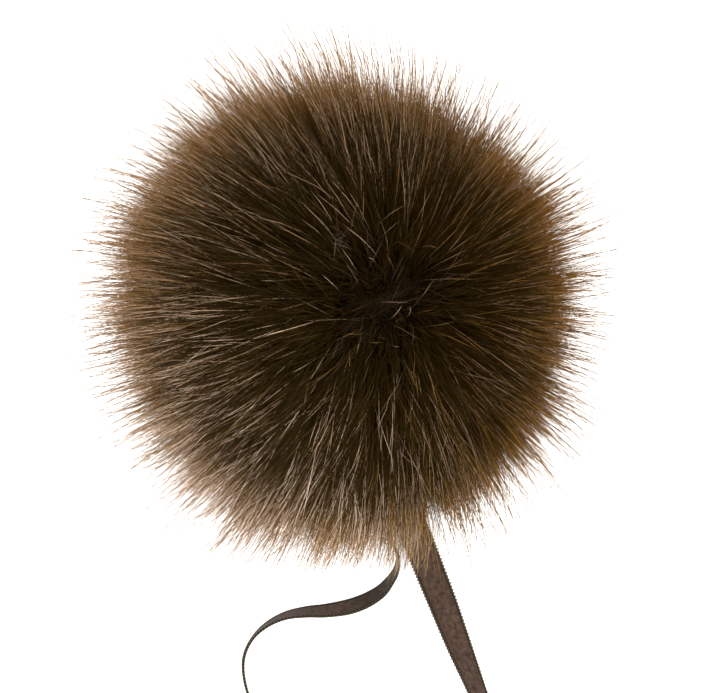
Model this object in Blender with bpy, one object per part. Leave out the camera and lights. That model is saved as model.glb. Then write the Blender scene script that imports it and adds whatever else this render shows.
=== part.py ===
# A fur pom pom lying on a flat surface, with the two free ends of its satin ribbon.
# Units are metres, +Z is up, and the origin is on the surface, under the middle of the ball.

import math

import bmesh
import bpy
import numpy as np
from mathutils import Vector

MM = 0.001

# The ball: a backing of gathered pelt that the locks of fur stand on.
BALL_HEIGHT = 62 * MM
BACKING_RADIUS = 55 * MM
BACKING_POINTS = 148
POINT_JITTER = 0.16
LUMP_SHARE = 0.018
SEED = 11

# The locks. Their reach is measured from the middle of the ball.
LOCK_REACH = 74.5 * MM
LONG_SIDE_REACH = 3.2 * MM
LONG_SIDE_ANGLE = math.radians(115)
REACH_SPREAD = 3.5 * MM
WHORL_OFFSET = Vector((12 * MM, 1.5 * MM, 0))
LOCK_ROOT_GAP = 0.9 * MM
LOCK_SWAY = 2.4 * MM
LOCK_TWIST = math.radians(22)
# Each row is a section of a lock: how far along it is, and its width as a share of the root's.
LOCK_SECTIONS = (
    {"along": 0.45, "width": 0.74},
    {"along": 0.80, "width": 0.36},
)
FOOT_SECTIONS = ({"along": 0.55, "width": 0.78},)
FOOT_WIDTH = 0.5

# The flat of the backing that the ribbon is stitched to, low on the near side.
SEAT_AZIMUTH = math.radians(-73.5)
SEAT_DROP = math.radians(38)
SEAT_HALF_WIDTH = 8.5 * MM
SEAT_HALF_HEIGHT = 6.5 * MM
SEAT_CLEARING = math.radians(14.5)

# The ribbon.
RIBBON_WIDTH = 10 * MM
RIBBON_THICKNESS = 1 * MM
SEAT_GAP = 0.3 * MM
RIBBON_LEAD = 8 * MM
SECTION_SPACING = 2.5 * MM

# Where each free end runs, in millimetres on the surface: x to the right, y away from the viewer.
# Edge is the height of the ribbon's lower edge, and tilt is in degrees, from 0, flat, to 90, on edge.
RIGHT_TIE = {
    "seat_side": 2.6 * MM,
    "seat_tilt": 18,
    "stations": (
        {"x": 18.8, "y": -60.6, "edge": 9.8, "tilt": 16},
        {"x": 22.3, "y": -69.9, "edge": 2.6, "tilt": 10},
        {"x": 25.2, "y": -77.4, "edge": 0.2, "tilt": 12},
        {"x": 28.9, "y": -86.7, "edge": 0.0, "tilt": 21},
        {"x": 34.3, "y": -100.7, "edge": 0.0, "tilt": 37},
        {"x": 39.9, "y": -114.8, "edge": 0.0, "tilt": 54},
        {"x": 44.4, "y": -126.5, "edge": 0.0, "tilt": 56},
        {"x": 48.4, "y": -138.0, "edge": 0.0, "tilt": 38},
        {"x": 51.6, "y": -149.5, "edge": 0.0, "tilt": 13},
        {"x": 53.8, "y": -159.5, "edge": 0.0, "tilt": 0},
        {"x": 55.9, "y": -171.0, "edge": 0.0, "tilt": 0},
    ),
}
LEFT_TIE = {
    "seat_side": -5.0 * MM,
    "seat_tilt": 84,
    "stations": (
        {"x": 10.9, "y": -61.8, "edge": 7.2, "tilt": 86},
        {"x": 13.9, "y": -69.2, "edge": 2.2, "tilt": 88},
        {"x": 15.6, "y": -74.0, "edge": 0.4, "tilt": 87},
        {"x": 14.7, "y": -78.2, "edge": 0.0, "tilt": 80},
        {"x": 12.9, "y": -81.0, "edge": 0.0, "tilt": 75},
        {"x": 10.4, "y": -83.9, "edge": 0.0, "tilt": 69},
        {"x": 5.8, "y": -86.8, "edge": 0.0, "tilt": 65},
        {"x": 0.6, "y": -88.7, "edge": 0.0, "tilt": 64},
        {"x": -6.5, "y": -89.9, "edge": 0.0, "tilt": 68},
        {"x": -12.6, "y": -90.3, "edge": 0.0, "tilt": 73},
        {"x": -18.8, "y": -91.4, "edge": 0.0, "tilt": 79},
        {"x": -24.5, "y": -94.1, "edge": 0.0, "tilt": 84},
        {"x": -29.1, "y": -98.4, "edge": 0.0, "tilt": 88},
        {"x": -31.8, "y": -104.5, "edge": 0.0, "tilt": 88},
        {"x": -31.3, "y": -112.5, "edge": 0.0, "tilt": 88},
        {"x": -27.6, "y": -121.8, "edge": 0.0, "tilt": 86},
        {"x": -21.2, "y": -129.5, "edge": 0.0, "tilt": 74},
        {"x": -13.0, "y": -135.5, "edge": 0.0, "tilt": 46},
        {"x": -4.5, "y": -139.5, "edge": 0.0, "tilt": 15},
        {"x": 4.5, "y": -142.6, "edge": 0.0, "tilt": 0},
        {"x": 15.0, "y": -146.2, "edge": 0.0, "tilt": 0},
    ),
}

BALL_CENTRE = Vector((0, 0, BALL_HEIGHT))
UP = Vector((0, 0, 1))


def clear_scene():
    """Removes every object that the file opened with."""
    for obj in list(bpy.data.objects):
        bpy.data.objects.remove(obj)


def finish_material(name, colour, roughness, sheen):
    """A plain finish of one colour."""
    made = bpy.data.materials.new(name)
    made.use_nodes = True
    shader = made.node_tree.nodes["Principled BSDF"]
    shader.inputs["Base Color"].default_value = (*colour, 1)
    shader.inputs["Roughness"].default_value = roughness
    shader.inputs["Metallic"].default_value = 0
    shader.inputs["Sheen Weight"].default_value = sheen
    return made


def object_from(name, bm, material):
    """Turns a bmesh into an object of the scene."""
    bmesh.ops.recalc_face_normals(bm, faces=bm.faces)
    mesh = bpy.data.meshes.new(name)
    bm.to_mesh(mesh)
    bm.free()
    mesh.materials.append(material)
    made = bpy.data.objects.new(name, mesh)
    bpy.context.scene.collection.objects.link(made)
    return made


def seat_axes():
    """The seat's outward direction, and the directions across it and up it."""
    outward = Vector(
        (
            math.cos(SEAT_AZIMUTH) * math.cos(SEAT_DROP),
            math.sin(SEAT_AZIMUTH) * math.cos(SEAT_DROP),
            -math.sin(SEAT_DROP),
        )
    )
    across = UP.cross(outward).normalized()
    return outward, across, outward.cross(across)


def seat_corners():
    """The seat's four corners, as directions from the middle of the ball."""
    outward, across, up = seat_axes()
    half_diagonal = math.hypot(SEAT_HALF_WIDTH, SEAT_HALF_HEIGHT)
    depth = math.sqrt(BACKING_RADIUS**2 - half_diagonal**2)
    corners = [
        outward * depth + across * side * SEAT_HALF_WIDTH + up * rise * SEAT_HALF_HEIGHT
        for side in (-1, 1)
        for rise in (-1, 1)
    ]
    return [corner.normalized() for corner in corners], depth


def spread_directions(rng):
    """Directions spread evenly over a ball by the golden angle, then moved a little at random."""
    number = np.arange(BACKING_POINTS)
    height = 1 - (2 * number + 1) / BACKING_POINTS
    turn = number * math.pi * (3 - math.sqrt(5))
    ring = np.sqrt(1 - height**2)
    spots = np.stack([ring * np.cos(turn), ring * np.sin(turn), height], axis=1)
    spacing = math.sqrt(4 * math.pi / BACKING_POINTS)
    spots += rng.uniform(-1, 1, spots.shape) * POINT_JITTER * spacing
    return [Vector(spot).normalized() for spot in spots]


def lumps(direction):
    """How much further out the backing lies in a direction, as a share of its radius."""
    x, y, z = direction
    return LUMP_SHARE * (math.sin(3 * x + 2 * z) + math.sin(4 * y - 1) * math.cos(2 * x))


def backing_shell(rng):
    """The lumpy backing as a closed shell of triangles, with the seat as two of them."""
    outward = seat_axes()[0]
    corners, depth = seat_corners()
    bm = bmesh.new()
    for direction in spread_directions(rng):
        if direction.angle(outward) > SEAT_CLEARING:
            bm.verts.new(direction)
    seat = [bm.verts.new(corner) for corner in corners]
    bmesh.ops.convex_hull(bm, input=bm.verts)
    seat_faces = [face for face in bm.faces if all(v in seat for v in face.verts)]
    for vert in bm.verts:
        swelling = 0 if vert in seat or vert.co.z < -0.5 else lumps(vert.co)
        vert.co = BALL_CENTRE + vert.co * BACKING_RADIUS * (1 + swelling)
    bmesh.ops.recalc_face_normals(bm, faces=bm.faces)
    return bm, seat_faces


def lock_tip(root, reach, sway):
    """Where a lock of fur ends: out from the whorl, at its reach from the middle of the ball."""
    way = (root - BALL_CENTRE - WHORL_OFFSET).normalized()
    offset = root - BALL_CENTRE
    along = offset.dot(way)
    length = -along + math.sqrt(along**2 - offset.length_squared + reach**2)
    return root + way * length + sway


def turned(offset, axis, angle):
    """A vector turned about an axis by an angle."""
    axis = axis.normalized()
    return (
        offset * math.cos(angle)
        + axis.cross(offset) * math.sin(angle)
        + axis * axis.dot(offset) * (1 - math.cos(angle))
    )


def draw_out(bm, face, centres, widths, twist, level_end):
    """Draws a face out into a lock through the given centres, and returns its last face."""
    root = face.calc_center_median()
    spokes = [vert.co - root for vert in face.verts]
    axis = centres[-1] - root
    for number, (centre, width) in enumerate(zip(centres, widths, strict=True)):
        face = bmesh.ops.extrude_discrete_faces(bm, faces=[face])["faces"][0]
        turn = twist * (number + 1) / len(centres)
        last = number == len(centres) - 1
        for vert, spoke in zip(face.verts, spokes, strict=True):
            offset = turned(spoke, axis, turn) * width
            if last and level_end:
                offset.z = 0
            vert.co = centre + offset
    return face


def free_lock(bm, face, root, tip, sway, twist):
    """A lock that ends in a point, and bends the way it sways."""
    centres = [
        root.lerp(tip, row["along"]) - sway * row["along"] * (1 - row["along"])
        for row in LOCK_SECTIONS
    ]
    widths = [row["width"] for row in LOCK_SECTIONS]
    end = draw_out(bm, face, [*centres, tip], [*widths, 0.1], twist, False)
    bmesh.ops.pointmerge(bm, verts=list(end.verts), merge_co=tip)


def resting_lock(bm, face, root, foot, twist):
    """A shorter lock under the ball, with a level foot on the surface."""
    centres = [root.lerp(foot, row["along"]) for row in FOOT_SECTIONS]
    widths = [row["width"] for row in FOOT_SECTIONS]
    draw_out(bm, face, [*centres, foot], [*widths, FOOT_WIDTH], twist, True)


def build_fur_ball(material):
    """The ball of fur: the backing and every lock, in one body."""
    rng = np.random.default_rng(SEED)
    bm, seat_faces = backing_shell(rng)
    faces = [face for face in bm.faces if face not in seat_faces]
    faces.sort(key=lambda face: tuple(face.calc_center_median()))
    bmesh.ops.inset_individual(bm, faces=faces, thickness=LOCK_ROOT_GAP)
    lowest = min(faces, key=lambda face: (face.calc_center_median() - BALL_CENTRE).normalized().z)
    for face in faces:
        root = face.calc_center_median()
        way = (root - BALL_CENTRE).normalized()
        bearing = math.atan2(way.y, way.x) - LONG_SIDE_ANGLE
        reach = LOCK_REACH + LONG_SIDE_REACH * math.hypot(way.x, way.y) * math.cos(bearing)
        reach += rng.uniform(-1, 1) * REACH_SPREAD
        sway = Vector(rng.uniform(-1, 1, 3)) * LOCK_SWAY
        twist = rng.uniform(-1, 1) * LOCK_TWIST
        tip = lock_tip(root, reach, sway)
        if face is lowest:
            resting_lock(bm, face, root, Vector((0, 0, 0)), twist)
        elif tip.z < 0:
            foot = root.lerp(tip, root.z / (root.z - tip.z))
            foot.z = 0
            resting_lock(bm, face, root, foot, twist)
        else:
            free_lock(bm, face, root, tip, sway, twist)
    return object_from("fur_ball", bm, material)


def smooth_route(rows, spacing):
    """Rows of numbers read at even steps from a centripetal Catmull-Rom curve through them."""
    rows = np.array(rows, float)
    rows = np.vstack([2 * rows[0] - rows[1], rows, 2 * rows[-1] - rows[-2]])
    steps = np.linalg.norm(np.diff(rows[:, :3], axis=0), axis=1) ** 0.5
    knots = np.concatenate([[0], np.cumsum(steps)])
    fine = []
    for k in range(1, len(rows) - 2):
        t = np.linspace(knots[k], knots[k + 1], 24, endpoint=False)[:, None]
        a = [
            rows[j] + (rows[j + 1] - rows[j]) * (t - knots[j]) / (knots[j + 1] - knots[j])
            for j in (k - 1, k, k + 1)
        ]
        b = [
            a[j] + (a[j + 1] - a[j]) * (t - knots[k - 1 + j]) / (knots[k + 1 + j] - knots[k - 1 + j])
            for j in (0, 1)
        ]
        fine.append(b[0] + (b[1] - b[0]) * (t - knots[k]) / (knots[k + 1] - knots[k]))
    fine = np.vstack([*fine, rows[-2:-1]])
    along = np.concatenate([[0], np.cumsum(np.linalg.norm(np.diff(fine[:, :3], axis=0), axis=1))])
    count = round(along[-1] / spacing)
    even = np.linspace(0, along[-1], count + 1)
    return np.stack([np.interp(even, along, fine[:, k]) for k in range(fine.shape[1])], axis=1)


def lowest_offset(tilt):
    """How far below its middle a ribbon's lower edge is, at a tilt in degrees."""
    turn = math.radians(tilt)
    return RIBBON_WIDTH / 2 * math.sin(turn) + RIBBON_THICKNESS / 2 * math.cos(turn)


def tie_route(tie):
    """The middle of a ribbon end from its seat to its cut, as rows of x, y, z, tilt and edge height."""
    outward, across, _ = seat_axes()
    depth = seat_corners()[1]
    start = BALL_CENTRE + outward * (depth + SEAT_GAP) + across * tie["seat_side"]
    tilt = tie["seat_tilt"]
    rows = [
        (*point, tilt, point.z - lowest_offset(tilt))
        for point in (start, start + outward * RIBBON_LEAD)
    ]
    for row in tie["stations"]:
        edge = row["edge"] * MM
        height = edge + lowest_offset(row["tilt"])
        rows.append((row["x"] * MM, row["y"] * MM, height, row["tilt"], edge))
    return smooth_route(rows, SECTION_SPACING)


def ribbon_section(centre, heading, tilt):
    """The four corners of a ribbon across its heading, rolled by its tilt with the right edge up."""
    level = heading.cross(UP).normalized()
    rise = level.cross(heading).normalized()
    width_way = level * math.cos(tilt) + rise * math.sin(tilt)
    face_way = heading.cross(width_way).normalized()
    return [
        centre + width_way * across * RIBBON_WIDTH / 2 + face_way * through * RIBBON_THICKNESS / 2
        for across, through in ((-1, -1), (1, -1), (1, 1), (-1, 1))
    ]


def build_tie(name, tie, lean, material):
    """One free end of the ribbon, swept along its route. Lean is -1 where its left edge is up."""
    route = tie_route(tie)
    outward = seat_axes()[0]
    headings = np.gradient(route[:, :3], axis=0)
    rings = []
    bm = bmesh.new()
    for number, (x, y, z, tilt, edge) in enumerate(route):
        heading = outward if number == 0 else Vector(headings[number]).normalized()
        corners = ribbon_section(Vector((x, y, z)), heading, lean * math.radians(tilt))
        if number > 0:
            drop = min(corner.z for corner in corners) - max(edge, 0)
            corners = [corner - UP * drop for corner in corners]
        rings.append([bm.verts.new(corner) for corner in corners])
    for ring, following in zip(rings, rings[1:]):
        for k in range(4):
            after = (k + 1) % 4
            bm.faces.new((ring[k], ring[after], following[after], following[k]))
    bm.faces.new(reversed(rings[0]))
    bm.faces.new(rings[-1])
    return object_from(name, bm, material)


def main():
    clear_scene()
    fur = finish_material("brown_fur", (0.055, 0.033, 0.014), 0.8, 0.4)
    satin = finish_material("brown_satin", (0.062, 0.045, 0.038), 0.42, 0.2)
    build_fur_ball(fur)
    build_tie("tie_right", RIGHT_TIE, 1, satin)
    build_tie("tie_left", LEFT_TIE, -1, satin)


main()
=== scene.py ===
# %% [markdown]
# # A fur pom pom with a satin ribbon tie
#
# The object is a ball of long, dark brown fur, with the two free ends of the narrow ribbon that
# ties it on. It lies on a white surface and is seen from straight above. The CAD model has the
# ball as one solid of thick locks and each ribbon end as a plain strip. This lesson dresses that
# model: more than a hundred thousand single hairs take the place of the locks, and woven satin with
# toothed edges takes the place of the strips.
#
# The hairs could be made with Blender's hair curves, but those don't leave Blender as a mesh. So
# each hair is a thin closed spindle, and all of them are worked out at once as numpy tables.

# %% Loading the frame
import math

import bpy
import numpy as np
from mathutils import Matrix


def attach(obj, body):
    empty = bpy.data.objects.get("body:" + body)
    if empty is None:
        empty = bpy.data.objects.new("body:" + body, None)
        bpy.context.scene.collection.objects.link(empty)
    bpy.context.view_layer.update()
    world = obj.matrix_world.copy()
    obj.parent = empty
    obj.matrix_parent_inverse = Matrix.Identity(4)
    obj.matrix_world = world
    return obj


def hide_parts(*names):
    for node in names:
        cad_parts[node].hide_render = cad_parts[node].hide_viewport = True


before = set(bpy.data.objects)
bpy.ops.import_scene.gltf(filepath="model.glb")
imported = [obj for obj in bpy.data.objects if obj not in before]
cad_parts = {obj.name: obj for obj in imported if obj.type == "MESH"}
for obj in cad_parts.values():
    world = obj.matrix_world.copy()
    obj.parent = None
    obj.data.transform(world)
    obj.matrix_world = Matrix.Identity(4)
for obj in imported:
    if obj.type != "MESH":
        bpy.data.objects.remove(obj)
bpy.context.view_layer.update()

# %% [markdown]
# ## Camera
#
# The photograph looks straight down, and one of its pixels is 0.30 mm at the height of the ball's
# middle. A long lens from far away keeps the hair at the ball's sides from leaning outwards in the
# picture, as it does in the photograph.

# %% Placing the camera
MM = 0.001
PIXEL = 0.30 * MM
PICTURE_SIZE = (720, 693)
BALL_MIDDLE_PIXEL = (347, 317)
BALL_CENTRE = np.array([0.0, 0.0, 62.0]) * MM
LENS_MM = 420
SENSOR_MM = 36

camera_data = bpy.data.cameras.new("camera")
camera_data.lens = LENS_MM
camera_data.sensor_width = SENSOR_MM
camera_data.clip_end = 20
camera = bpy.data.objects.new("camera", camera_data)
bpy.context.scene.collection.objects.link(camera)
camera_distance = PICTURE_SIZE[0] * PIXEL * LENS_MM / SENSOR_MM
camera.location = (
    (PICTURE_SIZE[0] / 2 - BALL_MIDDLE_PIXEL[0]) * PIXEL,
    (BALL_MIDDLE_PIXEL[1] - PICTURE_SIZE[1] / 2) * PIXEL,
    BALL_CENTRE[2] + camera_distance,
)
bpy.context.scene.camera = camera
print("camera", round(camera_distance, 2), "m above the middle of the ball")

# %% [markdown]
# ## Floor and light
#
# Two helpers come first, for the new objects and the materials of the whole lesson.
#
# The photograph's ground is pure white and holds no shadow. A floor that glows faintly by itself
# stays white there, and goes grey only where the object shuts out nearly all the light, under it.
# The light is that of a white studio: the world is a soft white, one broad lamp stands to the left
# in front, and a smaller, warmer one to the right.

# %% Laying the floor
def add_to_scene(name, data):
    """Puts new data into the scene as an object at the origin."""
    made = bpy.data.objects.new(name, data)
    bpy.context.scene.collection.objects.link(made)
    return made


def new_finish(name, roughness, gloss):
    """A new material with a roughness and a gloss: the material, its node tree and its shader."""
    made = bpy.data.materials.new(name)
    made.use_nodes = True
    shader = made.node_tree.nodes["Principled BSDF"]
    shader.inputs["Roughness"].default_value = roughness
    shader.inputs["Specular IOR Level"].default_value = gloss
    return made, made.node_tree, shader


FLOOR_HALF = 6

floor_mesh = bpy.data.meshes.new("floor")
corners = [(x * FLOOR_HALF, y * FLOOR_HALF, 0) for x, y in ((-1, -1), (1, -1), (1, 1), (-1, 1))]
floor_mesh.from_pydata(corners, [], [(0, 1, 2, 3)])
floor = add_to_scene("floor", floor_mesh)
floor_white, _, floor_shader = new_finish("floor_white", 0.9, 0.0)
floor_shader.inputs["Base Color"].default_value = (0.9, 0.9, 0.9, 1)
floor_shader.inputs["Emission Color"].default_value = (1, 1, 1, 1)
floor_shader.inputs["Emission Strength"].default_value = 0.8
floor_mesh.materials.append(floor_white)

# %% Lighting the studio
LAMPS = (
    {"name": "soft_left", "at": (-0.7, -0.9, 1.3), "size": 0.9, "watts": 19, "tint": (0.99, 0.99, 1)},
    {"name": "warm_right", "at": (1.1, 0.5, 1.0), "size": 0.7, "watts": 9, "tint": (1, 0.9, 0.76)},
)


def aim(obj, target):
    """Turns a lamp so that it shines from where it stands towards the target."""
    way = np.array(target) - np.array(obj.location)
    flat = math.hypot(way[0], way[1])
    obj.rotation_euler = (math.atan2(flat, -way[2]), 0, math.atan2(way[1], way[0]) - math.pi / 2)


for lamp in LAMPS:
    light = bpy.data.lights.new(lamp["name"], "AREA")
    light.shape = "DISK"
    light.size = lamp["size"]
    light.energy = lamp["watts"]
    light.color = lamp["tint"]
    light_object = add_to_scene(lamp["name"], light)
    light_object.location = lamp["at"]
    aim(light_object, BALL_CENTRE)

world = bpy.data.worlds.new("white_studio")
world.use_nodes = True
background = world.node_tree.nodes["Background"]
background.inputs["Color"].default_value = (1, 1, 1, 1)
background.inputs["Strength"].default_value = 1.0
bpy.context.scene.world = world
bpy.context.scene.view_settings.view_transform = "Standard"

# %% [markdown]
# ## Meshes from tables
#
# Every piece below is worked out as a table of points and tables of faces. One helper writes them
# into a mesh with foreach_set, which copies a whole table in one step.

# %% Writing a mesh
def mesh_object(name, points, quads, triangles, bake_map=None, values=None):
    """A smooth mesh object from a table of points and two tables of faces, quads first.

    The map holds a place on the image for each corner of each face, and each value is one number
    for each point.
    """
    points = np.reshape(points, (-1, 3))
    quads = np.reshape(quads, (-1, 4))
    triangles = np.reshape(triangles, (-1, 3))
    corner_points = np.concatenate([quads.ravel(), triangles.ravel()]).astype(np.int32)
    sizes = np.repeat([4, 3], [len(quads), len(triangles)])
    mesh = bpy.data.meshes.new(name)
    mesh.vertices.add(len(points))
    mesh.vertices.foreach_set("co", points.ravel().astype(np.float32))
    mesh.loops.add(len(corner_points))
    mesh.loops.foreach_set("vertex_index", corner_points)
    mesh.polygons.add(len(sizes))
    mesh.polygons.foreach_set("loop_start", (np.cumsum(sizes) - sizes).astype(np.int32))
    mesh.update(calc_edges=True)
    mesh.shade_smooth()
    if bake_map is not None:
        layer = mesh.uv_layers.new(name="OFBake")
        layer.uv.foreach_set("vector", np.ravel(bake_map).astype(np.float32))
    for value_name, numbers in (values or {}).items():
        attribute = mesh.attributes.new(value_name, "FLOAT", "POINT")
        attribute.data.foreach_set("value", np.ravel(numbers).astype(np.float32))
    return add_to_scene(name, mesh)


# %% [markdown]
# ## How the fur grows
#
# The hair parts at one point, the whorl, which faces up and to the right. From there every hair
# leans outwards, as grass does from a trodden spot. A viewer from above looks down into the dark,
# shaded roots where the hairs point at them, a little to the right of the middle, and sees the long
# sides of the hairs further out. That place, the dark middle, is where colours and strays are
# measured from, and the colours carry a painted shade that is deepest there.
# Directions are given by the angle from the whorl and the turn around it.

# %% Directions around the whorl
WHORL = np.array([11.4, 4.2, 28.0])
WHORL = WHORL / np.linalg.norm(WHORL)
DARK_MIDDLE = np.array([11.4, 3.6, 70.0]) / np.linalg.norm([11.4, 3.6, 70.0])
ACROSS = np.cross([0.0, 1.0, 0.0], WHORL)
ACROSS = ACROSS / np.linalg.norm(ACROSS)
ALONG = np.cross(WHORL, ACROSS)
LEAN = math.radians(24)
LEAN_STARTS = math.radians(24)


def unit(vectors):
    """Each vector divided by its length."""
    return vectors / np.linalg.norm(vectors, axis=-1, keepdims=True)


def spread_over_ball(count):
    """Even directions over a ball: equal steps in height, each turned on by the golden angle."""
    number = np.arange(count)
    height = 1 - (2 * number + 1) / count
    turn = number * math.pi * (3 - math.sqrt(5))
    ring = np.sqrt(1 - height**2)
    sideways = ring * np.cos(turn)
    upwards = ring * np.sin(turn)
    return sideways[:, None] * ACROSS + upwards[:, None] * ALONG + height[:, None] * WHORL


def leaned(ways):
    """Directions moved away from the whorl: by nothing at it, and by LEAN over most of the ball.

    The angle is LEAN * (1 - exp(-angle from the whorl / LEAN_STARTS)), and it fades in the same
    way towards the opposite point, where the hairs run together.
    """
    cosine = np.clip(ways @ WHORL, -1, 1)
    angle = np.arccos(cosine)
    away = unit(ways * cosine[:, None] - WHORL + 1e-9)
    fade = 1 - np.exp(-(math.pi - angle) / LEAN_STARTS)
    lean = LEAN * (1 - np.exp(-angle / LEAN_STARTS)) * fade
    return ways * np.cos(lean)[:, None] + away * np.sin(lean)[:, None]


# %% [markdown]
# ## Locks
#
# Fur doesn't lie evenly: neighbouring hairs cling together into small pointed locks, with dark
# gaps between them. So the ball is first shared out among locks, and then each hair starts near its
# lock's root and is drawn towards its lock's tip. A lock also has its own length, so the outline is
# uneven, as it is in the photograph, most of all on the clumped side at the lower left. Its tone is
# its own too, and swells and sinks over wide patches of the ball, as five sine waves do that run
# through it in random directions.

# %% Sharing the ball among locks
LOCK_COUNT = 1100
ROOT_JITTER = 0.028
LOCK_JITTER = 0.045
CLUMPED_SIDE = np.array([-0.45, -0.85, -0.25])
CLUMPED_MORE = 0.8
PATCH_FINENESS = 14.0
PATCH_DEPTH = 0.8
SHORTER_WHEN_CLUMPED = 0.012
LENGTH_SPREAD = (0.03, 0.05)
LOCK_TONES = (0.65, 1.4)
rng = np.random.default_rng(5)
lock_roots = unit(spread_over_ball(LOCK_COUNT) + rng.normal(0, ROOT_JITTER, (LOCK_COUNT, 3)))
lock_tips = unit(leaned(lock_roots) + rng.normal(0, LOCK_JITTER, (LOCK_COUNT, 3)))
clumping = np.clip(lock_roots @ CLUMPED_SIDE, 0, 1)
length_spread = LENGTH_SPREAD[0] + LENGTH_SPREAD[1] * clumping
lock_lengths = 1 - SHORTER_WHEN_CLUMPED * clumping + rng.normal(0, 1, LOCK_COUNT) * length_spread

# %% [markdown]
# A few dark locks hang over the place where the ribbon comes out, below the ball's middle, and their
# tones are darkened as painted shade. They are added to the others by where their tips are, in
# millimetres from the middle of the ball, and their roots are found by going back against the lean.

# %% The tuft over the ribbon
TUFT_TIPS = (
    (14.0, -67.0, -20.0),
    (16.4, -72.0, -28.0),
    (17.2, -73.5, -27.0),
    (19.6, -77.0, -29.0),
    (18.2, -72.0, -24.0),
)
TUFT_REACH = 80.0
TUFT_PAINTED_SHADE = 0.35


def before_leaning(tips):
    """The root directions whose hairs lean to the given tip directions, far from the whorl."""
    towards = unit(WHORL - (tips @ WHORL)[:, None] * tips)
    return tips * math.cos(LEAN) + towards * math.sin(LEAN)


tuft_tips = unit(np.array(TUFT_TIPS))
lock_roots = np.concatenate([lock_roots, before_leaning(tuft_tips)])
lock_tips = np.concatenate([lock_tips, tuft_tips])
lock_lengths = np.concatenate([lock_lengths, np.linalg.norm(TUFT_TIPS, axis=1) / TUFT_REACH])
patches = np.sin(lock_roots @ rng.normal(0, PATCH_FINENESS, (3, 5)) + rng.uniform(0, 6.3, 5)).mean(1)
lock_tones = rng.uniform(*LOCK_TONES, len(lock_roots)) * (1 + PATCH_DEPTH * patches)
# Painted shade: the tuft's locks are darkened, as they hang below the ball's middle.
lock_tones[-len(TUFT_TIPS):] *= TUFT_PAINTED_SHADE
lock_angles = np.arccos(np.clip(lock_roots @ DARK_MIDDLE, -1, 1))
lock_radius = math.degrees(2 / math.sqrt(LOCK_COUNT))
print(len(lock_roots), "locks, each about", round(lock_radius, 1), "degrees in radius")
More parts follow.
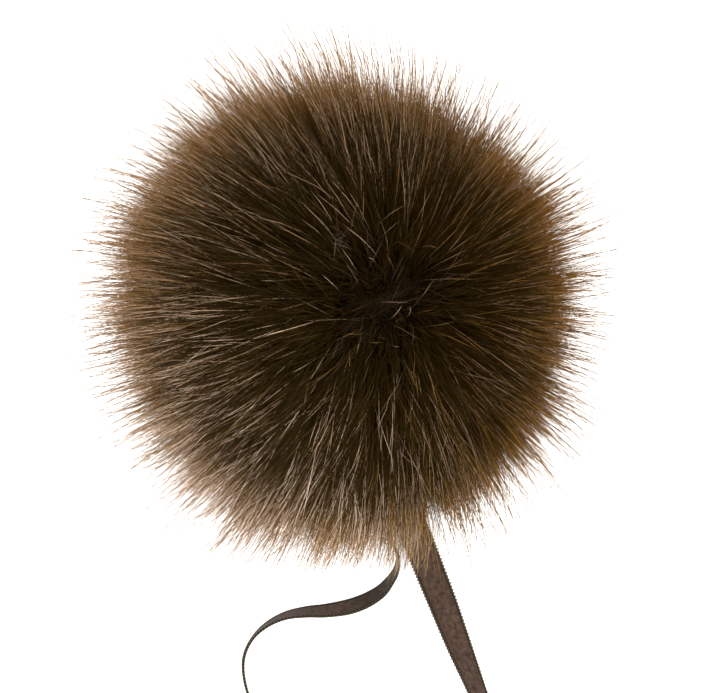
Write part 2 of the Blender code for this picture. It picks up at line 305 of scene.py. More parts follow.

# %% [markdown]
# ## Single hairs
#
# A coat is one kind of hair. The underfur is fine, dense and soft. The guard hairs are longer,
# stiffer and fewer, and lie over it in sheaves. Stray hairs cross them one by one. Fringe hairs are
# full almost to their tips and end at the outline, and a few long hairs stand out beyond it. Each
# row of the table gives a coat's numbers:
#
# - per_lock and spans: how many hairs a lock has, and how many straight spans a hair has
# - crowding: how far the spans crowd towards the tip. Even spans have 1, and less means more
# - reach and evenness: the shares of the outline where hairs end, and the two numbers of the beta
#   distribution that picks a share between them
# - thinning: how much shorter the coat is on the clumped side, as a share
# - width and wave: millimetres
# - gather: how far a hair's tip is drawn to its lock's tip, from 0 to 1
# - taper: how much shorter a hair is for each radian between its root and its lock's, which makes
#   the lock pointed
# - lock_stray and stray: how far whole sheaves and single tips scatter, in radians. Roots scatter
#   by ROOT_SPREAD in every coat
# - favour: how much further the hairs reach towards the upper right, in millimetres
# - pale and bias: the share of the hairs that are pale, and the least and most paleness, picked
#   between in the same way. All other hairs have DARK_TONE
# - shade: painted shade for the shaded roots seen in the dark middle: what is left of the paleness
#   there, and the angles in degrees from there between which it comes back
# - fewest: what is left there of the share of pale hairs, more of the same painted shade
#
# ROOM holds how far a hair may come from the ball's middle, in millimetres: to the left, bottom and
# underside first, and then to the right, top and upper side. The ribbon parts the fur where it comes
# out, so around one turn, and below one height of direction, the hairs are shorter.

# %% The coats
HAIR_ROOT = 41.0
ROOT_SPREAD = 0.05
HAIR_BEND = 1.3
CROSSED_ZONE = math.radians(24)
CROSSED_MORE = 2
LAID_LEVELS = (0.3, 5.0)
LAID_SLIDE = 0.6
COATS = {
    "underfur": {
        "per_lock": 84,
        "spans": 2,
        "crowding": 0.85,
        "reach": (0.74, 1.0),
        "evenness": (3.0, 1.3),
        "thinning": 0.05,
        "width": 0.235,
        "wave": 0.15,
        "gather": 0.38,
        "taper": 0.5,
        "lock_stray": 0.0,
        "stray": 0.032,
        "favour": 0.0,
        "pale": (1.0, 0.06, 0.36),
        "bias": (1.8, 2.6),
        "shade": (0.05, 25, 82),
        "fewest": 1.0,
    },
    "guard_hair": {
        "per_lock": 9,
        "spans": 4,
        "crowding": 0.85,
        "reach": (0.86, 1.07),
        "evenness": (2.0, 2.0),
        "thinning": 0.01,
        "width": 0.215,
        "wave": 0.08,
        "gather": 0.5,
        "taper": 0.3,
        "lock_stray": 0.06,
        "stray": 0.035,
        "favour": 0.0,
        "pale": (0.7, 0.55, 2.1),
        "bias": (1.2, 1.6),
        "shade": (0.5, 10, 42),
        "fewest": 0.3,
    },
    "stray_hair": {
        "per_lock": 3,
        "spans": 3,
        "crowding": 0.75,
        "reach": (0.84, 1.07),
        "evenness": (1.6, 1.6),
        "thinning": 0.01,
        "width": 0.2,
        "wave": 0.1,
        "gather": 0.0,
        "taper": 0.0,
        "lock_stray": 0.0,
        "stray": 0.11,
        "favour": 0.0,
        "pale": (0.7, 0.55, 2.1),
        "bias": (1.2, 1.6),
        "shade": (0.5, 10, 42),
        "fewest": 0.3,
    },
    "fringe_hair": {
        "per_lock": 10,
        "spans": 2,
        "crowding": 0.4,
        "reach": (0.93, 1.09),
        "evenness": (1.3, 1.6),
        "thinning": 0.0,
        "width": 0.21,
        "wave": 0.12,
        "gather": 0.52,
        "taper": 0.3,
        "lock_stray": 0.02,
        "stray": 0.03,
        "favour": 0.0,
        "pale": (0.9, 0.15, 1.15),
        "bias": (1.2, 1.8),
        "shade": (0.2, 20, 80),
        "fewest": 0.3,
    },
    "long_hair": {
        "per_lock": 6,
        "spans": 3,
        "crowding": 0.32,
        "reach": (1.0, 1.28),
        "evenness": (1.1, 1.2),
        "thinning": 0.0,
        "width": 0.25,
        "wave": 0.15,
        "gather": 0.15,
        "taper": 0.0,
        "lock_stray": 0.03,
        "stray": 0.06,
        "favour": 1.2,
        "pale": (0.9, 0.12, 0.75),
        "bias": (1.2, 1.6),
        "shade": (0.2, 20, 80),
        "fewest": 0.3,
    },
}
DARK_TONE = 0.04
FAVOURED_TURN = math.radians(55)
OUTLINE = (71.8, 76.8, 73.6, 78.0, 79.0, 77.0, 74.5, 72.5, 74.8, 78.2, 74.6, 71.8)
TOP_REACH = 73.0
ROOM = np.array([[93.5, 80.5, 160.0], [87.5, 95.0, 89.5]])
ROOM_USED = (0.94, 1)
PARTING = {"turn": math.radians(-69.2), "half": math.radians(3.6), "depth": 0.18, "below": 0.35}


def outline_reach(ways):
    """How far the fur reaches in a direction, in millimetres.

    The table holds the reach on the level, at each twelfth of a turn from the right round by the
    top of the picture. Towards the top and bottom of the ball it blends into TOP_REACH.
    """
    turn = np.arctan2(ways[:, 1], ways[:, 0]) % (2 * math.pi)
    level = np.hypot(ways[:, 0], ways[:, 1])
    around = np.interp(turn, np.arange(13) * math.pi / 6, (*OUTLINE, OUTLINE[0]))
    return TOP_REACH + level**2 * (around - TOP_REACH)


# %% The paths of the hairs
def span_ends(spans, crowding):
    """Where a hair's spans end, as shares of its length: even shares raised to the crowding."""
    return np.linspace(0, 1, spans + 1) ** crowding


def hair_paths(coat, generator):
    """The points of every hair of a coat, from root to tip, with each hair's lock.

    At a share s of its length a hair lies in the direction root + (tip - root) * s ** HAIR_BEND,
    at a distance that grows evenly from the root's to the tip's. So it leaves the ball nearly
    straight and leans more and more towards its end. Close to the dark middle, within about
    CROSSED_ZONE, the tips stray up to 1 + CROSSED_MORE times as far, so the hairs cross there.
    Locks are gathered more tightly on the clumped side. At the PARTING hairs are shorter by up to
    its depth, less so with exp(-(turn / half) ** 2). A hair that would leave the ROOM round the
    ball's middle is shortened to end between the shares ROOM_USED of the way to its edge.
    """
    lock = np.repeat(np.arange(len(lock_roots)), coat["per_lock"])
    count = len(lock)
    root = unit(lock_roots[lock] + generator.normal(0, ROOT_SPREAD, (count, 3)))
    own_tip = leaned(root)
    sheaf = generator.normal(0, coat["lock_stray"], (len(lock_roots), 3))
    gather = coat["gather"] * (1 + CLUMPED_MORE * (lock_roots[lock] @ CLUMPED_SIDE))
    nearness = np.exp(-((lock_angles[lock] / CROSSED_ZONE) ** 2))
    stray = coat["stray"] * (1 + CROSSED_MORE * nearness)
    tip = own_tip + (lock_tips[lock] - own_tip) * gather[:, None] + sheaf[lock]
    tip = unit(tip + generator.normal(0, 1, (count, 3)) * stray[:, None])
    low, high = coat["reach"]
    share = low + (high - low) * generator.beta(*coat["evenness"], count)
    astray = np.linalg.norm(root - lock_roots[lock], axis=1)
    share *= 1 - coat["taper"] * astray * (1 + 0.5 * (lock_roots[lock] @ CLUMPED_SIDE))
    share *= 1 - coat["thinning"] * np.clip(lock_roots[lock] @ CLUMPED_SIDE, 0, 1)
    turn = np.arctan2(tip[:, 1], tip[:, 0])
    favour = coat["favour"] * np.hypot(tip[:, 0], tip[:, 1]) * np.cos(turn - FAVOURED_TURN)
    reach = (outline_reach(tip) + favour) * share * lock_lengths[lock]
    parted = np.exp(-(((turn - PARTING["turn"]) / PARTING["half"]) ** 2))
    reach *= 1 - PARTING["depth"] * parted * (tip[:, 2] < PARTING["below"])
    room = np.where(tip < 0, ROOM[0], ROOM[1]) / np.maximum(np.abs(tip), 1e-6)
    reach = np.minimum(reach, room.min(1) * generator.uniform(*ROOM_USED, count))
    steps = span_ends(coat["spans"], coat["crowding"])[None, :, None]
    way = unit(root[:, None] + (tip - root)[:, None] * steps**HAIR_BEND)
    distance = HAIR_ROOT + (reach[:, None, None] - HAIR_ROOT) * steps
    wave = generator.normal(0, coat["wave"], (count, 1, 3)) * np.sin(math.pi * steps)
    return BALL_CENTRE + (way * distance + wave) * MM, lock


def settle(paths, generator):
    """Lays the hairs that would pass through the surface down on it.

    The part of a hair that is below its own level is lifted to it, and slides outwards by
    LAID_SLIDE times the lift. The levels differ, so the hairs lie on top of each other.
    """
    level = generator.uniform(*LAID_LEVELS, len(paths))[:, None] * MM
    lift = np.maximum(level - paths[:, :, 2], 0)
    outwards = paths[:, :, :2] / np.maximum(np.linalg.norm(paths[:, :, :2], axis=2), 1e-6)[:, :, None]
    paths[:, :, :2] += outwards * lift[:, :, None] * LAID_SLIDE
    paths[:, :, 2] += lift
    return paths


# %% [markdown]
# ## From a path to a hair
#
# A hair is a closed spindle with three sides: a point at the root, rings of three points, and a
# point at the tip. It is widest just over half way along, as real guard hairs are. Each hair also
# has a small cell of its own on an image map, with its sides across the cell and its length up it.

# %% Building spindles
PROFILE_PLACES = (0, 0.15, 0.55, 0.85, 1)
PROFILE_WIDTHS = (0, 0.8, 1, 0.62, 0)
CELL_START = np.array([0.28, 0.06])
CELL_SPAN = np.array([0.44, 0.88])


def spindle_points(paths, widths):
    """Three points around each inner point of each path, at a third of a turn from each other."""
    heading = unit(np.gradient(paths, axis=1))
    side = unit(np.cross(heading, [0.31, 0.48, 0.82]))
    other = np.cross(heading, side)
    turn = np.arange(3) * 2 * math.pi / 3
    around = (
        side[:, 1:-1, None] * np.cos(turn)[:, None] + other[:, 1:-1, None] * np.sin(turn)[:, None]
    )
    return paths[:, 1:-1, None] + around * widths[:, 1:-1, None, None] / 2


def spindle_faces(spans):
    """The faces of one spindle: quads between its rings of points, and triangles at both ends."""
    side = np.arange(3)
    following = (side + 1) % 3
    first = 1
    last = 1 + 3 * (spans - 2)
    rings = first + 3 * np.arange(spans - 2)[:, None]
    quads = np.stack([rings + side, rings + following, rings + 3 + following, rings + 3 + side], -1)
    root = np.stack([first + following, first + side, 0 * side], -1)
    tip = np.stack([last + side, last + following, 0 * side + 3 * (spans - 1) + 1], -1)
    return quads.reshape(-1, 4), np.concatenate([root, tip])


def hair_object(name, paths, steps, width, tone, material):
    """All the hairs of one piece, with where each point is along its hair, and the hair's tone."""
    count, spans = len(paths), paths.shape[1] - 1
    widths = width[:, None] * np.interp(steps, PROFILE_PLACES, PROFILE_WIDTHS) * MM
    rings = spindle_points(paths, widths).reshape(count, -1, 3)
    points = np.concatenate([paths[:, :1], rings, paths[:, -1:]], axis=1)
    along = np.concatenate([[0], np.repeat(steps[1:-1], 3), [1]])
    quads, triangles = spindle_faces(spans)
    offset = np.arange(count)[:, None, None] * points.shape[1]
    columns = math.ceil(math.sqrt(count * 6))
    rows = math.ceil(count / columns)
    cell = np.stack([np.arange(count) % columns, np.arange(count) // columns], -1)

    def on_image(faces, across):
        """Each corner's place: across its cell by its side of the spindle, and up it along the hair."""
        place = CELL_START + CELL_SPAN * np.stack([across, along[faces]], -1)
        return (cell[:, None, None] + place) / [columns, rows]

    quad_map = on_image(quads, np.tile([0.0, 1, 1, 0], (len(quads), 1)))
    triangle_map = on_image(triangles, np.repeat([[1.0, 0, 0.5], [0, 1.0, 0.5]], 3, axis=0))
    made = mesh_object(
        name,
        points,
        quads + offset,
        triangles + offset,
        np.concatenate([quad_map.reshape(-1, 2), triangle_map.reshape(-1, 2)]),
        {"along": np.tile(along, (count, 1)), "tone": np.repeat(tone, points.shape[1])},
    )
    made.data.materials.append(material)
    return made


# %% [markdown]
# ## The colours of the fur
#
# Three ramps give a dark, a brown and a pale hair from root to tip, and the tone of a hair says how
# they are mixed. Most hairs are dark or brown. The pale, slightly pink ones are the thin light
# strokes in the photograph. The fur is painted greyer and paler at the bottom of the picture, as
# painted light from the broad lamp, duller at the top, and darker and warmer on the right, as painted
# shade on the side away from that lamp. Out at the rim it turns a light tan, a painted glow for the
# light that comes through the fine ends, but not in the dark tuft over the ribbon. A node group works
# all of this out, because two materials use it.

# %% Colour helpers
def linear(*rgb):
    """A colour given as 0 to 255 on the screen, as the linear numbers that Blender's shaders use."""
    share = np.array(rgb) / 255
    return (*np.where(share <= 0.04045, share / 12.92, ((share + 0.055) / 1.055) ** 2.4), 1.0)


def link(tree, source, target):
    """Joins an output to an input."""
    tree.links.new(source, target)


def attribute(tree, name):
    """The output that reads one of the mesh's own values."""
    node = tree.nodes.new("ShaderNodeAttribute")
    node.attribute_name = name
    return node.outputs["Fac"]


def object_place(tree):
    """The output that reads where a point lies, in the object's own coordinates."""
    return tree.nodes.new("ShaderNodeTexCoord").outputs["Object"]


def noise(tree, place, scale, detail):
    """A random pattern that reads a place, finer with a larger scale and a larger detail."""
    node = tree.nodes.new("ShaderNodeTexNoise")
    node.inputs["Scale"].default_value = scale
    node.inputs["Detail"].default_value = detail
    link(tree, place, node.inputs["Vector"])
    return node.outputs["Fac"]


def ramp(tree, value, stops):
    """A colour ramp that reads a value, with stops given as (place, colour)."""
    node = tree.nodes.new("ShaderNodeValToRGB")
    while len(node.color_ramp.elements) < len(stops):
        node.color_ramp.elements.new(0.5)
    for element, (place, colour) in zip(node.color_ramp.elements, stops, strict=True):
        element.position = place
        element.color = colour
    link(tree, value, node.inputs["Fac"])
    return node.outputs["Color"]


def mixed(tree, share, first, second, way="MIX"):
    """Two colours mixed by a share, or blended in another way."""
    node = tree.nodes.new("ShaderNodeMix")
    node.data_type = "RGBA"
    node.blend_type = way
    node.clamp_result = True
    for socket, value in zip((node.inputs[0], node.inputs[6], node.inputs[7]), (share, first, second)):
        if isinstance(value, bpy.types.NodeSocket):
            link(tree, value, socket)
        else:
            socket.default_value = value
    return node.outputs[2]


def tinted(tree, colour, share, tint):
    """A colour multiplied by a tint, as far as the share goes."""
    return mixed(tree, share, colour, mixed(tree, 1.0, colour, tint, "MULTIPLY"))


def spread(tree, value, low, high, to_low=0.0, to_high=1.0):
    """A value between low and high, mapped smoothly to between two other numbers."""
    node = tree.nodes.new("ShaderNodeMapRange")
    node.interpolation_type = "SMOOTHSTEP"
    link(tree, value, node.inputs["Value"])
    limits = (("From Min", low), ("From Max", high), ("To Min", to_low), ("To Max", to_high))
    for name, number in limits:
        node.inputs[name].default_value = number
    return node.outputs["Result"]


def along_way(tree, place, way):
    """How far a place lies in a direction, in metres: the dot product of the two."""
    node = tree.nodes.new("ShaderNodeVectorMath")
    node.operation = "DOT_PRODUCT"
    link(tree, place, node.inputs[0])
    node.inputs[1].default_value = way
    return node.outputs["Value"]


def flat_distance(tree, place, centre):
    """How far a place lies from the upright line through a centre, in metres."""
    flat = tree.nodes.new("ShaderNodeVectorMath")
    flat.operation = "MULTIPLY"
    link(tree, place, flat.inputs[0])
    flat.inputs[1].default_value = (1, 1, 0)
    apart = tree.nodes.new("ShaderNodeVectorMath")
    apart.operation = "DISTANCE"
    link(tree, flat.outputs[0], apart.inputs[0])
    apart.inputs[1].default_value = centre
    return apart.outputs["Value"]


# %% The fur colour group
def fur_colour_group():
    """A group that gives a hair's colour from where it is along the hair, its tone and its place."""
    group = bpy.data.node_groups.new("fur_colour", "ShaderNodeTree")
    group.interface.new_socket("Along", in_out="INPUT", socket_type="NodeSocketFloat")
    group.interface.new_socket("Tone", in_out="INPUT", socket_type="NodeSocketFloat")
    group.interface.new_socket("Place", in_out="INPUT", socket_type="NodeSocketVector")
    group.interface.new_socket("Colour", in_out="OUTPUT", socket_type="NodeSocketColor")
    entry = group.nodes.new("NodeGroupInput")
    leave = group.nodes.new("NodeGroupOutput")
    # The dark hair is lighter at the root than further along: painted light lifting the deep root
    # shade.
    dark = ramp(
        group,
        entry.outputs["Along"],
        (
            (0.0, linear(84, 58, 19)),
            (0.45, linear(54, 39, 11)),
            (0.75, linear(42, 31, 8)),
            (1.0, linear(58, 42, 15)),
        ),
    )
    brown = ramp(
        group,
        entry.outputs["Along"],
        (
            (0.0, linear(26, 17, 4)),
            (0.35, linear(66, 47, 24)),
            (0.7, linear(128, 94, 56)),
            (1.0, linear(172, 132, 86)),
        ),
    )
    pale = ramp(
        group,
        entry.outputs["Along"],
        (
            (0.0, linear(30, 20, 6)),
            (0.35, linear(124, 99, 77)),
            (0.7, linear(230, 194, 164)),
            (1.0, linear(236, 205, 170)),
        ),
    )
    # Painted light and shade by place: lighter and greyer towards the bottom, painted light from the
    # broad lamp; darker and warmer on the right, painted shade; duller towards the top.
    rightwards = along_way(group, entry.outputs["Place"], (1, -0.1, 0))
    painted_shade_right = spread(group, rightwards, -6 * MM, 42 * MM)
    lower_left = along_way(group, entry.outputs["Place"], (-0.2, -0.97, 0))
    painted_light_below = spread(group, lower_left, 5 * MM, 62 * MM)
    upwards = along_way(group, entry.outputs["Place"], (-0.35, 0.94, 0))
    upness = spread(group, upwards, 0.0, 40 * MM)
    brown = tinted(group, brown, painted_shade_right, (0.97, 0.91, 0.47, 1))
    brown = tinted(group, brown, painted_light_below, (1.06, 1.22, 1.52, 1))
    brown = tinted(group, brown, upness, (0.9, 0.88, 0.8, 1))
    pale = tinted(group, pale, painted_shade_right, (0.36, 0.31, 0.27, 1))
    pale = tinted(group, pale, painted_light_below, (1.15, 1.24, 1.4, 1))
    pale = tinted(group, pale, upness, (0.72, 0.68, 0.62, 1))
    colour = mixed(group, spread(group, entry.outputs["Tone"], 0.0, 0.4), dark, brown)
    # Painted rim glow: a light tan towards the rim for light through the fine ends, less around the
    # tuft.
    outwards = flat_distance(group, entry.outputs["Place"], (0, 0, 0))
    painted_rim_glow = spread(group, outwards, 54 * MM, 84 * MM, 0.0, 0.6)
    from_tuft = flat_distance(group, entry.outputs["Place"], (18.5 * MM, -71 * MM, 0))
    rim_glow_share = group.nodes.new("ShaderNodeMath")
    rim_glow_share.operation = "MULTIPLY"
    link(group, painted_rim_glow, rim_glow_share.inputs[0])
    link(group, spread(group, from_tuft, 5 * MM, 12 * MM, 0.1, 1.0), rim_glow_share.inputs[1])
    colour = mixed(group, rim_glow_share.outputs[0], colour, linear(158, 109, 45))
    # More painted shade on the right, over the rim glow too.
    colour = tinted(group, colour, painted_shade_right, (0.9, 0.86, 0.76, 1))
    colour = mixed(group, spread(group, entry.outputs["Tone"], 0.3, 1.0), colour, pale)
    link(group, colour, leave.inputs["Colour"])
    return group


fur_colour = fur_colour_group()


def fur_material(name, roughness, gloss):
    """A material for hair: the group's colour, half dull, with a weak warm gloss."""
    made, tree, hair_shader = new_finish(name, roughness, gloss)
    group = tree.nodes.new("ShaderNodeGroup")
    group.node_tree = fur_colour
    link(tree, attribute(tree, "along"), group.inputs["Along"])
    link(tree, attribute(tree, "tone"), group.inputs["Tone"])
    link(tree, object_place(tree), group.inputs["Place"])
    link(tree, group.outputs["Colour"], hair_shader.inputs["Base Color"])
    hair_shader.inputs["Specular Tint"].default_value = (1.0, 0.78, 0.58, 1)
    return made


underfur_finish = fur_material("underfur_brown", 0.7, 0.0)
guard_finish = fur_material("guard_hair_brown", 0.45, 0.12)

# %% [markdown]
# ## The pelt
#
# Under the hair is the gathered pelt that it grows from. Only its dark shows, down at the whorl, but
# it stops light from passing right through the ball. It is a slightly lumpy ball from a grid of
# angles, closed at its poles.

# %% Making the pelt
PELT_RADIUS = 42.5
PELT_ROWS = 40
PELT_COLUMNS = 80


def pelt_points():
    """A ball whose radius swells and sinks by 1 mm with sines of its two angles."""
    down = np.linspace(0, math.pi, PELT_ROWS + 1)[1:-1, None]
    turn = np.arange(PELT_COLUMNS)[None] * 2 * math.pi / PELT_COLUMNS
    lumps = np.sin(5 * turn) * np.sin(4 * down) + np.sin(3 * turn + 1)
    radius = PELT_RADIUS + np.sin(down) ** 2 * lumps
    level = np.sin(down)
    body = np.stack([level * np.cos(turn), level * np.sin(turn), np.cos(down) + 0 * turn], -1)
    poles = np.array([[0, 0, PELT_RADIUS], [0, 0, -PELT_RADIUS]])
    return BALL_CENTRE + np.concatenate([(body * radius[:, :, None]).reshape(-1, 3), poles]) * MM


def pelt_faces():
    """Quads between the rows of the grid, and a fan of triangles to each pole."""
    column = np.arange(PELT_COLUMNS)
    following = (column + 1) % PELT_COLUMNS
    row = np.arange(PELT_ROWS - 2)[:, None] * PELT_COLUMNS
    below = row + PELT_COLUMNS
    quads = np.stack([row + column, below + column, below + following, row + following], -1)
    top = (PELT_ROWS - 1) * PELT_COLUMNS
    last = (PELT_ROWS - 2) * PELT_COLUMNS
    upper = np.stack([column, following, 0 * column + top], -1)
    lower = np.stack([last + following, last + column, 0 * column + top + 1], -1)
    return quads.reshape(-1, 4), np.concatenate([upper, lower])


pelt_finish, pelt_tree, pelt_shader = new_finish("pelt_dark", 0.9, 0.5)
fuzz = noise(pelt_tree, object_place(pelt_tree), 900, 4)
pelt_colour = ramp(pelt_tree, fuzz, ((0.35, linear(48, 33, 9)), (0.7, linear(66, 46, 13))))
link(pelt_tree, pelt_colour, pelt_shader.inputs["Base Color"])

pelt = mesh_object("pelt", pelt_points(), *pelt_faces())
pelt.data.materials.append(pelt_finish)
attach(pelt, "root")
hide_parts("fur_ball")
print("pelt", len(pelt.data.polygons), "faces")

# %% [markdown]
# ## Growing the coats
#
# Each coat is cut into pieces of fewer than 200,000 triangles, one after another in the order of
# the locks, from the whorl down to the surface.

# %% Growing the hair
PIECE_TRIANGLES = 195000
WIDTH_SCATTER = (0.7, 1.25)


def hair_tones(coat, lock, generator):
    """How pale each hair is, from 0 to 1: less so towards the dark middle, as painted shade there.

    The angle from the dark middle, as a share a of the way between the coat's two angles and kept
    between 0 and 1, gives back a * a * (3 - 2 * a) of the paleness.
    """
    pale_share, low, high = coat["pale"]
    picked = low + (high - low) * generator.beta(*coat["bias"], len(lock))
    least, start, whole = coat["shade"]
    part = np.clip((np.degrees(lock_angles[lock]) - start) / (whole - start), 0, 1)
    back = part**2 * (3 - 2 * part)
    chance = pale_share * (coat["fewest"] + (1 - coat["fewest"]) * back)
    paleness = np.where(generator.random(len(lock)) < chance, picked, DARK_TONE)
    return np.clip(paleness * lock_tones[lock] * (least + (1 - least) * back), 0, 1)


def grow(coat_name, material):
    """Makes all the hair of one coat, in as few pieces as their size allows."""
    coat = COATS[coat_name]
    generator = np.random.default_rng(len(coat_name) + coat["per_lock"])
    paths, lock = hair_paths(coat, generator)
    paths = settle(paths, generator)
    tone = hair_tones(coat, lock, generator)
    width = coat["width"] * generator.uniform(*WIDTH_SCATTER, len(paths))
    steps = span_ends(coat["spans"], coat["crowding"])
    triangles = 6 * (coat["spans"] - 1)
    pieces = math.ceil(len(paths) * triangles / PIECE_TRIANGLES)
    for number, part in enumerate(np.array_split(np.arange(len(paths)), pieces)):
        piece_name = f"{coat_name}_{number + 1}"
        made = hair_object(piece_name, paths[part], steps, width[part], tone[part], material)
        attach(made, "root")
        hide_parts("fur_ball")
    print(coat_name, len(paths), "hairs,", len(paths) * triangles, "triangles in", pieces, "pieces")


grow("underfur", underfur_finish)
grow("guard_hair", guard_finish)
grow("stray_hair", guard_finish)
grow("fringe_hair", guard_finish)
grow("long_hair", guard_finish)

# %% [markdown]
# ## Hairs that lie across the dark middle
#
# In the dark middle a few short pale hairs have fallen over and lie across each other in any
# direction. Some are pinkish and some are greyer. Each comes up slanting out of the fur, bends over
# at its place and then runs along just above the locks: a curve of the second degree.

# %% Laying the crossing hairs
CROSSINGS = (
    {
        "name": "crossing_middle",
        "at": (11.4, 3.6),
        "scatter": 13,
        "longest": 10,
        "count": 24,
        "outwards": 1,
    },
    {
        "name": "crossing_bunch",
        "at": (-1.5, 22.5),
        "scatter": 1.4,
        "longest": 4,
        "count": 12,
        "outwards": 0,
    },
)
CROSSING_HEIGHT = 71.0
CROSSING_SHORTEST = 2.0
CROSSING_WIDTH = 0.17
CROSSING_WIDTH_SCATTER = (0.7, 1.2)
CROSSING_DEPTHS = (-3.5, 0.5)
CROSSING_START = {"below": 5, "behind": 4}
CROSSING_RISES = (-0.4, 1.6)
CROSSING_OUTWARDS = 2
FARTHEST_SQUARED = 2000
CROSSING_STEPS = np.array([0, 0.35, 0.6, 0.8, 1.0])


def crossing_paths(row, generator):
    """Curves of the second degree: out of the fur, bent at the hair's place, and along the top.

    A place lies over the ball at the height sqrt(CROSSING_HEIGHT ** 2 - flat distance ** 2), less
    or more by one of the CROSSING_DEPTHS.
    """
    count = row["count"]
    flat = np.array(row["at"]) + generator.normal(0, row["scatter"], (count, 2))
    height = np.sqrt(CROSSING_HEIGHT**2 - np.minimum((flat**2).sum(1), FARTHEST_SQUARED))
    place = np.column_stack([flat, height + generator.uniform(*CROSSING_DEPTHS, count)])
    up = unit(place)
    away = unit(place - DARK_MIDDLE * CROSSING_HEIGHT) * row["outwards"]
    run = generator.normal(0, 1, (count, 3)) + away * CROSSING_OUTWARDS
    run = unit(run - (run * up).sum(1)[:, None] * up)
    length = generator.uniform(CROSSING_SHORTEST, row["longest"], count)[:, None]
    begin = place - up * CROSSING_START["below"] - run * CROSSING_START["behind"]
    end = place + run * length + up * generator.uniform(*CROSSING_RISES, count)[:, None]
    t = CROSSING_STEPS[None, :, None]
    curve = begin[:, None] * (1 - t) ** 2 + place[:, None] * 2 * t * (1 - t) + end[:, None] * t**2
    return BALL_CENTRE + curve * MM


crossing_finish, crossing_tree, crossing_shader = new_finish("crossing_hair_pink", 0.5, 0.2)
crossing_colour = ramp(
    crossing_tree,
    attribute(crossing_tree, "tone"),
    (
        (0.0, linear(40, 32, 28)),
        (0.3, linear(60, 51, 47)),
        (0.55, linear(78, 60, 48)),
        (1.0, linear(132, 106, 94)),
    ),
)
link(crossing_tree, crossing_colour, crossing_shader.inputs["Base Color"])

for number, row in enumerate(CROSSINGS):
    crossing_rng = np.random.default_rng(40 + number)
    paths = crossing_paths(row, crossing_rng)
    widths = CROSSING_WIDTH * crossing_rng.uniform(*CROSSING_WIDTH_SCATTER, row["count"])
    tones = crossing_rng.uniform(0, 1, row["count"])
    crossing = hair_object(row["name"], paths, CROSSING_STEPS, widths, tones, crossing_finish)
    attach(crossing, "root")
    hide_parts("fur_ball")
    print(row["name"], row["count"], "hairs")

# %% [markdown]
# ## The ribbon
#
# Each free end is a strip of satin 10 mm wide, which leaves the ball low on its near side, comes
# down to the surface and runs along it, partly on edge. The route is the CAD model's, from the same
# tables, read here at finer steps.

# %% The ribbon's routes
SEAT_AZIMUTH = math.radians(-73.5)
SEAT_DROP = math.radians(38)
BACKING_RADIUS = 55.0
SEAT_HALF_WIDTH = 8.5
SEAT_HALF_HEIGHT = 6.5
SEAT_GAP = 0.3
RIBBON_WIDTH = 10.0
RIBBON_SOLID = 1.0
RIBBON_LEAD = 8.0
TIES = {
    "tie_right": {
        "seat_side": 2.6,
        "seat_tilt": 18,
        "raised": 1,
        "upper_side": 1.0,
        "stations": (
            (18.8, -60.6, 9.8, 16),
            (22.3, -69.9, 2.6, 10),
            (25.2, -77.4, 0.2, 12),
            (28.9, -86.7, 0.0, 21),
            (34.3, -100.7, 0.0, 37),
            (39.9, -114.8, 0.0, 54),
            (44.4, -126.5, 0.0, 56),
            (48.4, -138.0, 0.0, 38),
            (51.6, -149.5, 0.0, 13),
            (53.8, -159.5, 0.0, 0),
            (55.9, -171.0, 0.0, 0),
        ),
    },
    "tie_left": {
        "seat_side": -5.0,
        "seat_tilt": 84,
        "raised": -1,
        "upper_side": 0.0,
        "stations": (
            (10.9, -61.8, 7.2, 86),
            (13.9, -69.2, 2.2, 88),
            (15.6, -74.0, 0.4, 87),
            (14.7, -78.2, 0.0, 80),
            (12.9, -81.0, 0.0, 75),
            (10.4, -83.9, 0.0, 69),
            (5.8, -86.8, 0.0, 65),
            (0.6, -88.7, 0.0, 64),
            (-6.5, -89.9, 0.0, 68),
            (-12.6, -90.3, 0.0, 73),
            (-18.8, -91.4, 0.0, 79),
            (-24.5, -94.1, 0.0, 84),
            (-29.1, -98.4, 0.0, 88),
            (-31.8, -104.5, 0.0, 88),
            (-31.3, -112.5, 0.0, 88),
            (-27.6, -121.8, 0.0, 86),
            (-21.2, -129.5, 0.0, 74),
            (-13.0, -135.5, 0.0, 46),
            (-4.5, -139.5, 0.0, 15),
            (4.5, -142.6, 0.0, 0),
            (15.0, -146.2, 0.0, 0),
        ),
    },
}


def smooth_route(rows, spacing):
    """Rows of numbers read at even steps from a centripetal Catmull-Rom curve through them."""
    rows = np.array(rows, float)
    rows = np.vstack([2 * rows[0] - rows[1], rows, 2 * rows[-1] - rows[-2]])
    steps = np.linalg.norm(np.diff(rows[:, :3], axis=0), axis=1) ** 0.5
    knots = np.concatenate([[0], np.cumsum(steps)])
    fine = []
    for k in range(1, len(rows) - 2):
        t = np.linspace(knots[k], knots[k + 1], 24, endpoint=False)[:, None]
        a = [
            rows[j] + (rows[j + 1] - rows[j]) * (t - knots[j]) / (knots[j + 1] - knots[j])
            for j in (k - 1, k, k + 1)
        ]
        b = [
            a[j] + (a[j + 1] - a[j]) * (t - knots[k - 1 + j]) / (knots[k + 1 + j] - knots[k - 1 + j])
            for j in (0, 1)
        ]
        fine.append(b[0] + (b[1] - b[0]) * (t - knots[k]) / (knots[k + 1] - knots[k]))
    fine = np.vstack([*fine, rows[-2:-1]])
    along = np.concatenate([[0], np.cumsum(np.linalg.norm(np.diff(fine[:, :3], axis=0), axis=1))])
    count = round(along[-1] / spacing)
    even = np.linspace(0, along[-1], count + 1)
    columns = [np.interp(even, along, fine[:, k]) for k in range(fine.shape[1])]
    return np.stack(columns, axis=1), along[-1]


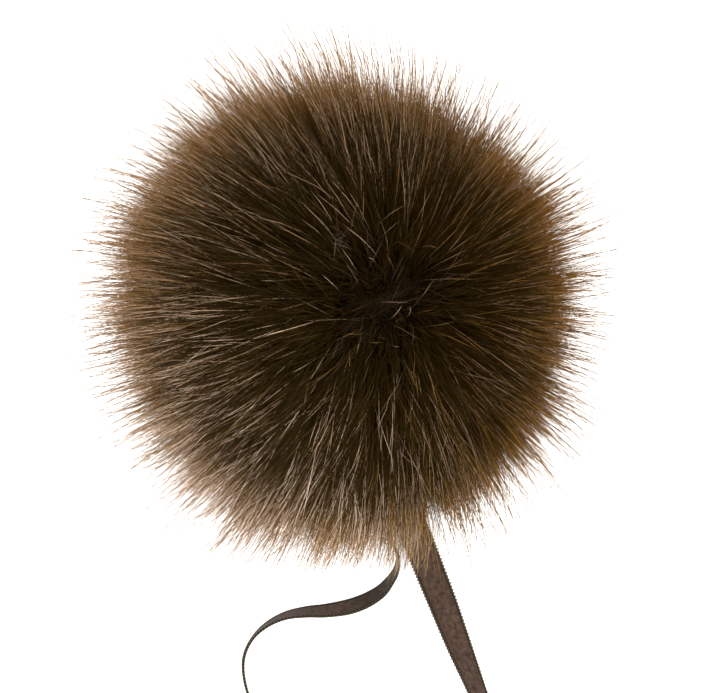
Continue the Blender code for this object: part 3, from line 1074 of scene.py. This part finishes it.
def tie_route(tie, spacing):
    """A ribbon end's middle, from the ball to its cut: x, y, height, tilt and edge height, in mm."""
    out = np.array(
        [
            math.cos(SEAT_AZIMUTH) * math.cos(SEAT_DROP),
            math.sin(SEAT_AZIMUTH) * math.cos(SEAT_DROP),
            -math.sin(SEAT_DROP),
        ]
    )
    across = unit(np.cross([0, 0, 1], out))
    depth = math.sqrt(BACKING_RADIUS**2 - SEAT_HALF_WIDTH**2 - SEAT_HALF_HEIGHT**2)
    start = BALL_CENTRE / MM + out * (depth + SEAT_GAP) + across * tie["seat_side"]

    def low(tilt):
        turn = math.radians(tilt)
        return RIBBON_WIDTH / 2 * math.sin(turn) + RIBBON_SOLID / 2 * math.cos(turn)

    tilt = tie["seat_tilt"]
    rows = [(*point, tilt, point[2] - low(tilt)) for point in (start, start + out * RIBBON_LEAD)]
    rows += [(x, y, edge + low(tilt), tilt, edge) for x, y, edge, tilt in tie["stations"]]
    return smooth_route(rows, spacing)


# %% [markdown]
# ## The satin
#
# Each ribbon end is one closed sheet a little under half a millimetre thick. Its two edges are
# thicker woven cords with small teeth, a little over a millimetre apart, which stand out as a row of
# lighter dots with painted shade, near black, in the notches between them. The cross-section is
# carried along the route, and a grid of rows and columns joins it up: every other row is cut in at
# its edges, and that makes the teeth. The two sides of satin differ. The right end shows its even
# face, and the left end its back, in a darker painted shade that turns into a painted sheen only
# where it runs sideways in the picture.

# %% Weaving the ribbon's shape
SATIN_THICKNESS = 0.45
TOOTH_DEPTH = 0.6
ROW_SPACING = 0.55
SELVEDGE_STARTS = 0.84
AT_SEAT = 0.5
LOWEST = 0.02
ACROSS_STATIONS = np.array([-1, -0.97, -0.92, -0.84, -0.7, -0.3, 0.3, 0.7, 0.84, 0.92, 0.97, 1])


def ribbon_sheet(name, tie, material):
    """The sheet: at each step the section is rolled by the tilt and set down on its edge height.

    The edge heights begin AT_SEAT millimetres along, and none is under LOWEST.
    """
    route, length = tie_route(tie, ROW_SPACING)
    centre = route[:, :3]
    heading = unit(np.gradient(centre, axis=0))
    level = unit(np.cross(heading, [0.0, 0.0, 1.0]))
    rise = np.cross(level, heading)
    tilt = np.radians(route[:, 3]) * tie["raised"]
    width_way = level * np.cos(tilt)[:, None] + rise * np.sin(tilt)[:, None]
    face_way = np.cross(heading, width_way)
    steps = np.linspace(0, length, len(route))
    gap = np.arange(len(route)) % 2
    edge = np.clip((np.abs(ACROSS_STATIONS) - SELVEDGE_STARTS) / (1 - SELVEDGE_STARTS), 0, 1)
    half = SATIN_THICKNESS / 2 * (1 + 0.7 * np.sin(math.pi * edge) - 0.35 * (edge >= 1))
    tooth = TOOTH_DEPTH * gap[:, None] * edge * np.sign(ACROSS_STATIONS)
    reach = RIBBON_WIDTH / 2 * ACROSS_STATIONS - tooth
    over = centre[:, None] + width_way[:, None] * reach[:, :, None] + face_way[:, None] * half[:, None]
    under = centre[:, None] + width_way[:, None] * reach[:, :, None] - face_way[:, None] * half[:, None]
    ring = np.concatenate([over, under[:, ::-1]], axis=1)
    drop = ring[:, :, 2].min(1) - np.maximum(route[:, 4], LOWEST)
    ring[:, :, 2] -= np.where(steps > AT_SEAT, drop, 0)[:, None]
    rows, columns = ring.shape[:2]
    column = np.arange(columns)
    following = (column + 1) % columns
    row = np.arange(rows - 1)[:, None] * columns
    nearer = row + columns
    quads = np.stack([row + column, nearer + column, nearer + following, row + following], -1)
    pair = np.arange(columns // 2 - 1)
    start_cap = np.stack([pair, pair + 1, columns - 2 - pair, columns - 1 - pair], -1)
    end_cap = start_cap[:, ::-1] + (rows - 1) * columns
    faces = np.concatenate([quads.reshape(-1, 4), start_cap, end_cap])
    across = np.concatenate([ACROSS_STATIONS, ACROSS_STATIONS[::-1]])
    glossy = np.repeat([1 - tie["upper_side"], tie["upper_side"]], len(ACROSS_STATIONS))
    # The sideways value, how far a row runs across the picture, sets where the back gets painted sheen.
    made = mesh_object(
        name,
        ring.reshape(-1, 3) * MM,
        faces,
        [],
        values={
            "across": np.tile(across, rows),
            "run": np.repeat(steps, columns),
            "glossy": np.tile(glossy, rows),
            "gap": np.repeat(gap, columns),
            "sideways": np.repeat(heading[:, 0] ** 2, columns),
        },
    )
    made.data.materials.append(material)
    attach(made, "root")
    print(name, "is", round(length, 1), "mm long,", len(made.data.polygons), "faces")
    return made


# %% The satin's finish
satin, tree, satin_shader = new_finish("satin_brown", 0.5, 0.02)
satin_across = attribute(tree, "across")
weave_place = tree.nodes.new("ShaderNodeCombineXYZ")
link(tree, satin_across, weave_place.inputs["X"])
link(tree, attribute(tree, "run"), weave_place.inputs["Y"])
stretch = tree.nodes.new("ShaderNodeMapping")
stretch.inputs["Scale"].default_value = (30, 0.8, 1)
link(tree, weave_place.outputs[0], stretch.inputs["Vector"])
threads = noise(tree, stretch.outputs[0], 1.0, 3)
mottle = noise(tree, object_place(tree), 700, 5)
satin_face = ramp(tree, mottle, ((0.3, linear(60, 48, 41)), (0.7, linear(92, 74, 64))))
# Painted shade and sheen on the back: a darker shaded copy, and a lighter one where it runs sideways.
painted_shade_back = ramp(tree, mottle, ((0.3, linear(46, 38, 29)), (0.7, linear(74, 61, 49))))
painted_sheen_back = ramp(tree, mottle, ((0.3, linear(64, 51, 43)), (0.7, linear(96, 78, 68))))
painted_sheen_share = spread(tree, attribute(tree, "sideways"), 0.78, 0.97)
satin_back = mixed(tree, painted_sheen_share, painted_shade_back, painted_sheen_back)
satin_body = mixed(tree, attribute(tree, "glossy"), satin_back, satin_face)
thread_shade = ramp(tree, threads, ((0.3, (0.8, 0.8, 0.8, 1)), (0.7, (1.1, 1.1, 1.1, 1))))
satin_body = mixed(tree, 1.0, satin_body, thread_shade, "MULTIPLY")
from_middle = tree.nodes.new("ShaderNodeMath")
from_middle.operation = "ABSOLUTE"
link(tree, satin_across, from_middle.inputs[0])
# Lighter teeth, and painted shade near black in the notches between them.
teeth_and_painted_notch_shade = mixed(tree, attribute(tree, "gap"), linear(96, 86, 70), linear(6, 5, 3))
at_beads = spread(tree, from_middle.outputs[0], 0.80, 0.88)
selvedge = mixed(tree, at_beads, linear(50, 41, 30), teeth_and_painted_notch_shade)
at_edge = spread(tree, from_middle.outputs[0], 0.68, 0.78)
satin_colour = mixed(tree, at_edge, satin_body, selvedge)
link(tree, satin_colour, satin_shader.inputs["Base Color"])

# %% Laying both ends
for tie_name, tie in TIES.items():
    laid = ribbon_sheet(f"satin_{tie_name}", tie, satin)
    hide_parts(tie_name)
